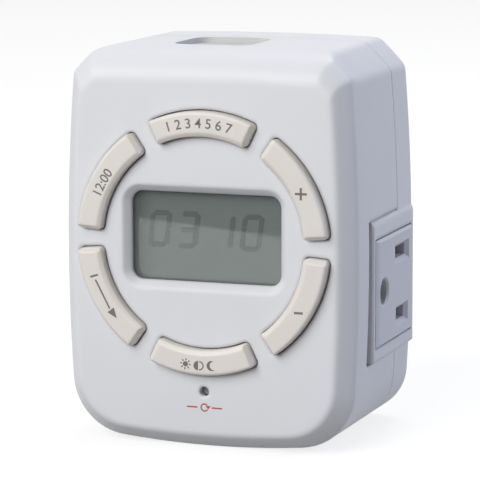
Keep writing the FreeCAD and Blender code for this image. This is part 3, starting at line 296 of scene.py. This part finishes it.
# Painted shade: the glass is darker over its last few millimetres at the left, where the window's left rim shades it,
# down to this share of its brightness
SHADE_FROM, SHADE_TO, DARKEST = -15.5 * MM, -10.5 * MM, 0.25
glass_tree = display_glass.node_tree
glass_place = add_node(glass_tree, "ShaderNodeTexCoord")
glass_across = add_node(glass_tree, "ShaderNodeSeparateXYZ", None, {"Vector": (glass_place, "Object")})
# Painted shade of the window's left rim, darkest at the glass's left end
painted_rim_shade = add_node(glass_tree, "ShaderNodeMapRange",
                     {"From Min": SHADE_FROM, "From Max": SHADE_TO, "To Min": DARKEST, "To Max": 1.0},
                     {"Value": (glass_across, "X")}, interpolation_type="SMOOTHSTEP")
glass_clouds, glass_colour = glass_tree.nodes["Map Range"], glass_tree.nodes["Hue/Saturation/Value"]
# The slow clouds of tone, darkened by the painted rim shade
tone_with_painted_shade = add_node(glass_tree, "ShaderNodeMath", None,
                       {0: (glass_clouds, "Result"), 1: (painted_rim_shade, "Result")}, operation="MULTIPLY")
glass_tree.links.new(tone_with_painted_shade.outputs["Value"], glass_colour.inputs["Value"])
finish_node("lcd_holder", dark_moulding)
finish_node("contact_strips", contact_rubber)
finish_node("lcd_panel", display_glass)
# Clear polycarbonate: hardly there but for its gloss, which waves slowly where the plastic flowed
window_clear = grained(surface("clear_polycarbonate_window", IOR=1.58, Alpha=0.22)[0], "#9aa29f", 0.03, 6 * MM,
                       0.001 * MM)
finish_node("window_lens", window_clear)

# Each bar's place across and up the digit, and whether it stands upright
BARS = {"a": (0, 1, 0), "g": (0, 0, 0), "d": (0, -1, 0), "f": (-1, 0.5, 1), "b": (1, 0.5, 1), "e": (-1, -0.5, 1),
        "c": (1, -0.5, 1)}
# The bars of each digit, then each digit's middle, and the sizes of bars and digits in millimetres
LIT = {"0": "abcdef", "1": "bc", "3": "abcdg"}
DIGITS = ((-10.35, "0"), (-4.4, "3"), (2.95, "1"), (8.9, "0"))
BAR_LONG, BAR_WIDE, BAR_THICK = 3.1, 1.1, 0.05
DIGIT_WIDE, DIGIT_HIGH, DIGIT_SLANT = 3.45, 6.35, math.radians(8)
DIGIT_MIDDLE, DIGIT_PROUD = 43.25, 0.03
DISPLAY_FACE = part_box("lcd_panel")[0][1]

# One bar with pointed ends: a flat hexagon, drawn out to its length
bpy.ops.object.select_all(action="DESELECT")
bpy.ops.mesh.primitive_cylinder_add(vertices=6, radius=BAR_WIDE / 2 / math.cos(math.radians(30)) * MM,
                                    depth=BAR_THICK * MM, rotation=(math.radians(90), math.radians(90), 0))
bar = bpy.context.active_object
bpy.ops.object.transform_apply(location=False, rotation=True, scale=False)
for corner in bar.data.vertices:
    corner.co.x += math.copysign((BAR_LONG - BAR_WIDE) / 2 * MM, corner.co.x)

# A copy of it for each bar of each digit, turned, put in its place and leant over
digit_bars = []
for middle, shown in DIGITS:
    for across, lift, upright in (BARS[letter] for letter in LIT[shown]):
        piece = bpy.data.objects.new("bar", bar.data.copy())
        bpy.context.scene.collection.objects.link(piece)
        turn = Matrix.Rotation(math.radians(90 * upright), 4, "Y")
        x, z = across * DIGIT_WIDE / 2, lift * DIGIT_HIGH / 2
        piece.data.transform(Matrix.Translation(Vector((x * MM, 0, z * MM))) @ turn)
        for corner in piece.data.vertices:
            corner.co.x += corner.co.z * math.tan(DIGIT_SLANT) + middle * MM
            corner.co.y += DISPLAY_FACE - DIGIT_PROUD * MM
            corner.co.z += DIGIT_MIDDLE * MM
        digit_bars.append(piece)
bpy.data.objects.remove(bar)
only(digit_bars[0])
for piece in digit_bars:
    piece.select_set(True)
bpy.ops.object.join()
digits = bpy.context.active_object
digits.name = "clock_digits"
# The crystal in the digits turns darker and greener than the glass round it
digits.data.materials.append(crystal_glass("darkened_liquid_crystal", "#15322c", 0.03))
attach(digits, "timer_body")

# Keys: six cream caps round a ring, on one silicone membrane with a dome behind each
# Moulded ABS with a fine satin, flat on top with a sloped edge all round

# Silicone: matt and a warm grey, seen only in the gap round each cap
silicone = moulded("grey_silicone_rubber", "#7d7672", 0.62, 0.4 * MM, 0.01 * MM)
finish_node("key_membrane", silicone)
# The reset button is moulded in a plain mid grey, dull at the bottom of its hole
finish_node("reset_button", moulded("grey_abs_button", "#8b8d8b", 0.5, 0.3 * MM, 0.01 * MM))
# Moulded ABS again, warmer and smoother than the case, and thin enough for light to spread a little inside it
key_plastic = moulded("satin_abs_warm_grey", "#e1dcd6", 0.44, 0.3 * MM, 0.012 * MM)
key_shader = key_plastic.node_tree.nodes["Principled BSDF"]
key_shader.inputs["Subsurface Weight"].default_value = 0.15
key_shader.inputs["Subsurface Scale"].default_value = 1.0 * MM
soft_arris(key_plastic, 0.6 * MM)
CAP_FACE, ON_FACE = -24.0, 0.01


def cap_rim(start, end):
    """The rim of a cap's flat top is rounded in full, the other edges are left to the mould"""
    return 1.0 if max(start.y, end.y) < (CAP_FACE + ON_FACE) * MM else 0.0


for name in ("program_key", "time_key", "resume_key", "mode_key", "minus_key", "plus_key"):
    dress(name, key_plastic, edge=0.5 * MM, rounds=5, share=cap_rim)

# Signs: plain numbers and marks on the key caps and under the reset hole
# Pad-printed ink, a few hundredths of a millimetre thick, laid along the ring
# Each rides on its key; the one under the reset hole comes with the front housing

# In millimetres: the ink, how far it spreads past the drawn line, and how near two points are one
INK_THICK, INK_SPREAD, SAME_POINT = 0.04, 0.025, 0.001
# The figures' height, and its share of the size of their type
FIGURE_HIGH, FIGURE_SHARE = 1.9, 0.7
# The height of the ring's middle, and where the front of the case is
RING_MIDDLE, CASE_FACE = 41.3, -22.0


def round_points(radius, middle=(0, 0), start=0, end=360, count=24):
    """Points in millimetres along an arc"""
    turns = [math.radians(start + (end - start) * step / count) for step in range(count + (end - start != 360))]
    return [(middle[0] + radius * math.cos(turn), middle[1] + radius * math.sin(turn)) for turn in turns]


def bar_points(x, z, long, wide, turn=0.0):
    """Corners of a bar in millimetres, its middle at x and z"""
    c, s = math.cos(math.radians(turn)), math.sin(math.radians(turn))
    corners = ((-long / 2, -wide / 2), (long / 2, -wide / 2), (long / 2, wide / 2), (-long / 2, wide / 2))
    return [(x + a * c - b * s, z + a * s + b * c) for a, b in corners]


def printed(name, ink, body, outlines=(), words="", at=(0, 0), face=CAP_FACE, around=None):
    """A thin print of outlines or plain numbers, upright at a place or bent round the ring

    around gives its angle and its radius on the ring, and whether its top points to the ring's middle
    """
    bpy.ops.object.select_all(action="DESELECT")
    if words:
        bpy.ops.object.text_add()
        flat = bpy.context.active_object
        flat.data.body = words
        flat.data.size = FIGURE_HIGH * MM / FIGURE_SHARE
        flat.data.align_x = "CENTER"
        flat.data.offset = INK_SPREAD * MM
    else:
        curve = bpy.data.curves.new(name, "CURVE")
        curve.dimensions = "2D"
        for outline in outlines:
            spline = curve.splines.new("POLY")
            spline.points.add(len(outline) - 1)
            for point, (x, z) in zip(spline.points, outline):
                point.co = (x * MM, z * MM, 0, 1)
            spline.use_cyclic_u = True
        flat = bpy.data.objects.new(name, curve)
        bpy.context.scene.collection.objects.link(flat)
    flat.data.fill_mode = "BOTH"
    flat.data.extrude = INK_THICK / 2 * MM
    only(flat)
    bpy.ops.object.convert(target="MESH")
    print_mesh = bpy.context.active_object
    print_mesh.name = name
    lift = -FIGURE_HIGH / 2 * MM if words else 0
    for corner in print_mesh.data.vertices:
        u, v, thick = corner.co.x, corner.co.y + lift, corner.co.z
        if around:
            middle, radius, inward = math.radians(around[0]), around[1] * MM, around[2]
            turn = middle + u / radius if inward else middle - u / radius
            reach = radius - v if inward else radius + v
            u, v = reach * math.cos(turn), reach * math.sin(turn) + RING_MIDDLE * MM
        else:
            u, v = u + at[0] * MM, v + at[1] * MM
        corner.co = (u, face * MM - thick, v)
    bpy.ops.object.mode_set(mode="EDIT")
    bpy.ops.mesh.select_all(action="SELECT")
    bpy.ops.mesh.remove_doubles(threshold=SAME_POINT * MM)
    bpy.ops.mesh.normals_make_consistent(inside=False)
    bpy.ops.object.mode_set(mode="OBJECT")
    print_mesh.data.materials.append(ink)
    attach(print_mesh, body)


# Pad ink: a thin dull film, a little broken where the pad lifted
grey_ink = moulded("grey_pad_print_ink", "#6f6762", 0.55, 0.15 * MM, 0.004 * MM, 0.08)
red_ink = moulded("brick_red_pad_print_ink", "#a8564a", 0.55, 0.15 * MM, 0.004 * MM, 0.08)
printed("program_numbers", grey_ink, "program_key", words="1 2 3 4 5 6 7", around=(90.6, 23.8, False))
printed("time_numbers", grey_ink, "time_key", words="12:00", around=(151.0, 23.4, False))

# A bar, a shaft and the head of an arrow
run_marks = [bar_points(-4.6, 0, 0.4, 1.7), bar_points(-0.6, 0, 6.4, 0.34), [(2.9, -0.85), (5.0, 0), (2.9, 0.85)]]
printed("resume_arrow", grey_ink, "resume_key", run_marks, around=(-150.6, 23.5, True))

# A sun with eight rays, a disc with one half open, and a moon
SUN, SUN_RADIUS, RAY_MIDDLE, RAY_LONG, RAY_WIDE = -2.75, 0.52, 0.9, 0.4, 0.24
sun = [round_points(SUN_RADIUS, (SUN, 0))]
for turn in range(0, 360, 45):
    sun.append(bar_points(SUN + RAY_MIDDLE * math.cos(math.radians(turn)), RAY_MIDDLE * math.sin(math.radians(turn)),
                          RAY_LONG, RAY_WIDE, turn))
DISC_OUTER, DISC_INNER, FULL_HALF, OPEN_HALF = 0.95, 0.7, (-0.1, 0), (0.12, 0)
half_disc = [round_points(DISC_OUTER, FULL_HALF, 90, 270, 16),
             round_points(DISC_OUTER, OPEN_HALF, -90, 90, 16) + round_points(DISC_INNER, OPEN_HALF, 90, -90, 16)]
MOON, MOON_OUTER, MOON_INNER, MOON_BITE = 2.7, 1.0, 0.87, 0.5
moon = [round_points(MOON_OUTER, (MOON, 0), 60, 300, 20)
        + round_points(MOON_INNER, (MOON + MOON_BITE, 0), 250, 110, 12)]
printed("mode_marks", grey_ink, "mode_key", sun + half_disc + moon, around=(-91.0, 24.0, True))

# A plus of two crossed bars, and a minus
ARM, HALF_WIDE = 1.2, 0.22
plus = [(-HALF_WIDE, -ARM), (HALF_WIDE, -ARM), (HALF_WIDE, -HALF_WIDE), (ARM, -HALF_WIDE), (ARM, HALF_WIDE),
        (HALF_WIDE, HALF_WIDE), (HALF_WIDE, ARM), (-HALF_WIDE, ARM), (-HALF_WIDE, HALF_WIDE), (-ARM, HALF_WIDE),
        (-ARM, -HALF_WIDE), (-HALF_WIDE, -HALF_WIDE)]
printed("plus_mark", grey_ink, "plus_key", [plus], at=(20.72, 52.18))
printed("minus_mark", grey_ink, "minus_key", [bar_points(0, 0, 1.8, 0.45)], at=(20.21, 28.96))

# Front housing: the deep front half of the case, with openings for the keys and the window
# The same satin ABS as the rear half, moulded in one piece and held to it by four screws
# It has a shallow recess in its top and a round red arrow printed under the reset hole

front = dress("front_housing", case_plastic)
# The top recess is painted a greyer colour than the case for the shade inside it, with a dull, coarse finish
recess_shade_plastic = moulded("dull_abs_painted_recess_shade", "#cac9ca", 0.8, 0.6 * MM, 0.04 * MM)
recess_shade_plastic.node_tree.nodes["Principled BSDF"].inputs["Specular IOR Level"].default_value = 0.15
front.data.materials.append(recess_shade_plastic)
RECESS_MIDDLE, RECESS_HALF, RECESS_FLOOR, RECESS_RIM = (-3.1, -1.75), (8.1, 8.25), 77.8, 78.9
SLACK = 0.02
# Faces inside the top recess take the greyer finish that paints its shade
for face in front.data.polygons:
    inside = all(abs(face.center[k] / MM - RECESS_MIDDLE[k]) < RECESS_HALF[k] + SLACK for k in (0, 1))
    if inside and RECESS_FLOOR - SLACK < face.center.z / MM < RECESS_RIM:
        face.material_index = 1

# An open ring with an arrow's head at its end, between two short lines
ring = round_points(0.85, (0, 0), 40, 330, 24) + round_points(0.57, (0, 0), 330, 40, 24)
arrow_head = [(0.2, 0.36), (0.78, -0.36), (1.3, 0.36)]
side_lines = [bar_points(side * 2.6, 0, 2.2, 0.3) for side in (-1, 1)]
printed("reset_mark", red_ink, "timer_body", [ring, arrow_head] + side_lines, at=(0.03, 8.55),
        face=CASE_FACE)

# Housing screws: four pan heads with a cross recess, at the bottom of deep wells in the back
# Zinc plated steel; they pull the two halves of the case together

dress("housing_screws", zinc_steel, edge=0.1 * MM)

# Studio: white floor that the case stands on, broad soft lamps and the camera
# Floor and backdrop look white to the eye, to gloss and to glass, and give little light of their own

CASE_MIDDLE = Vector((0, 0, 0.04))


def lamp(name, place, width, power, shade):
    """A round soft lamp that looks at the middle of the case: metres and watts"""
    data = bpy.data.lights.new(name, "AREA")
    data.shape = "DISK"
    data.size = width
    data.energy = power
    data.color = srgb(shade)[:3]
    item = bpy.data.objects.new(name, data)
    bpy.context.scene.collection.objects.link(item)
    item.location = place
    item.rotation_euler = (CASE_MIDDLE - Vector(place)).to_track_quat("-Z", "Y").to_euler()


def seen_and_lit(tree, seen, lit):
    """Background strength: one value for the camera, gloss and glass, another for the light it gives"""
    path = add_node(tree, "ShaderNodeLightPath")
    gloss = add_node(tree, "ShaderNodeMath", None, {0: (path, "Is Camera Ray"), 1: (path, "Is Glossy Ray")},
                     operation="MAXIMUM")
    clear = add_node(tree, "ShaderNodeMath", None, {0: (gloss, "Value"), 1: (path, "Is Transmission Ray")},
                     operation="MAXIMUM")
    return add_node(tree, "ShaderNodeMapRange", {"To Min": lit, "To Max": seen}, {"Value": (clear, "Value")})


# How bright each looks, and how much light it gives
BACKDROP_SEEN, BACKDROP_LIGHT, FLOOR_SEEN, FLOOR_LIGHT = 1.0, 0.14, 0.78, 0.0
world = bpy.data.worlds.new("studio")
bpy.context.scene.world = world
world.use_nodes = True
backdrop = world.node_tree.nodes["Background"]
backdrop.inputs["Color"].default_value = srgb("#ffffff")
backdrop_glow = seen_and_lit(world.node_tree, BACKDROP_SEEN, BACKDROP_LIGHT)
world.node_tree.links.new(backdrop_glow.outputs["Result"], backdrop.inputs["Strength"])

lamp("key_lamp", (-0.318, -0.786, 0.57), 0.9, 9.6, "#ffffff")
lamp("back_lamp", (0.087, 0.492, 0.906), 0.6, 3.2, "#ffffff")
lamp("right_lamp", (0.8, 0.373, 0.509), 0.6, 3.5, "#d3deff")

# A low dark card in front of the case, seen only as the darker band that the display and its window reflect
bpy.ops.object.select_all(action="DESELECT")
bpy.ops.mesh.primitive_plane_add(size=1, location=(-0.1, -0.284, 0.015),
                                 rotation=(math.radians(90), 0, math.radians(22.6)))
card = bpy.context.active_object
card.name = "dark_card"
card.scale = (0.4, 0.03, 1)
card.visible_camera = card.visible_diffuse = card.visible_shadow = False
card.data.materials.append(surface("black_card", Base_Color=srgb("#101010"), Roughness=1.0,
                                   Specular_IOR_Level=0.0)[0])

# White paper, which takes the case's shadow; its glow makes its grey up to white
# Its grey as it is seen, and as it throws light back
PAPER_SEEN, PAPER_BOUNCE = "#888888", "#949494"
bpy.ops.object.select_all(action="DESELECT")
bpy.ops.mesh.primitive_plane_add(size=6, location=(0, 0, 0))
floor = bpy.context.active_object
floor.name = "floor"
floor_paint, floor_tree, floor_shader = surface("white_paper_floor", Roughness=0.9, Emission_Color=srgb("#ffffff"))
floor_glow = seen_and_lit(floor_tree, FLOOR_SEEN, FLOOR_LIGHT)
floor_tree.links.new(floor_glow.outputs["Result"], floor_shader.inputs["Emission Strength"])
floor_path = add_node(floor_tree, "ShaderNodeLightPath")
floor_mix = add_node(floor_tree, "ShaderNodeMix", {MIX_FIRST: srgb(PAPER_SEEN), MIX_SECOND: srgb(PAPER_BOUNCE)},
                     {MIX_SHARE: (floor_path, "Is Diffuse Ray")}, data_type="RGBA")
floor_tree.links.new(floor_mix.outputs[MIX_RESULT], floor_shader.inputs["Base Color"])
floor.data.materials.append(floor_paint)

# The camera looks from a little to the right of the case and a little above its middle
AZIMUTH, ELEVATION, ROLL = math.radians(19.82), math.radians(9.10), math.radians(-0.21)
TARGET = Vector((7.59, -22.0, 42.33)) * MM
DISTANCE = 568.5 * MM
FOCAL_PIXELS, PICTURE_PIXELS, SENSOR = 2927.6, 480, 36.0
away = Vector((math.sin(AZIMUTH) * math.cos(ELEVATION), -math.cos(AZIMUTH) * math.cos(ELEVATION),
               math.sin(ELEVATION)))
right = Vector((0, 0, 1)).cross(away).normalized()
up = away.cross(right)
right, up = (right * math.cos(ROLL) + up * math.sin(ROLL), up * math.cos(ROLL) - right * math.sin(ROLL))
view = bpy.data.objects.new("camera", bpy.data.cameras.new("camera"))
bpy.context.scene.collection.objects.link(view)
view.data.sensor_width = SENSOR
view.data.lens = FOCAL_PIXELS / PICTURE_PIXELS * SENSOR
view.data.clip_start = 0.05
view.data.clip_end = 20
view.matrix_world = Matrix.Translation(TARGET + away * DISTANCE) @ Matrix((right, up, away)).transposed().to_4x4()
bpy.context.scene.camera = view
bpy.context.scene.view_settings.view_transform = "Standard"
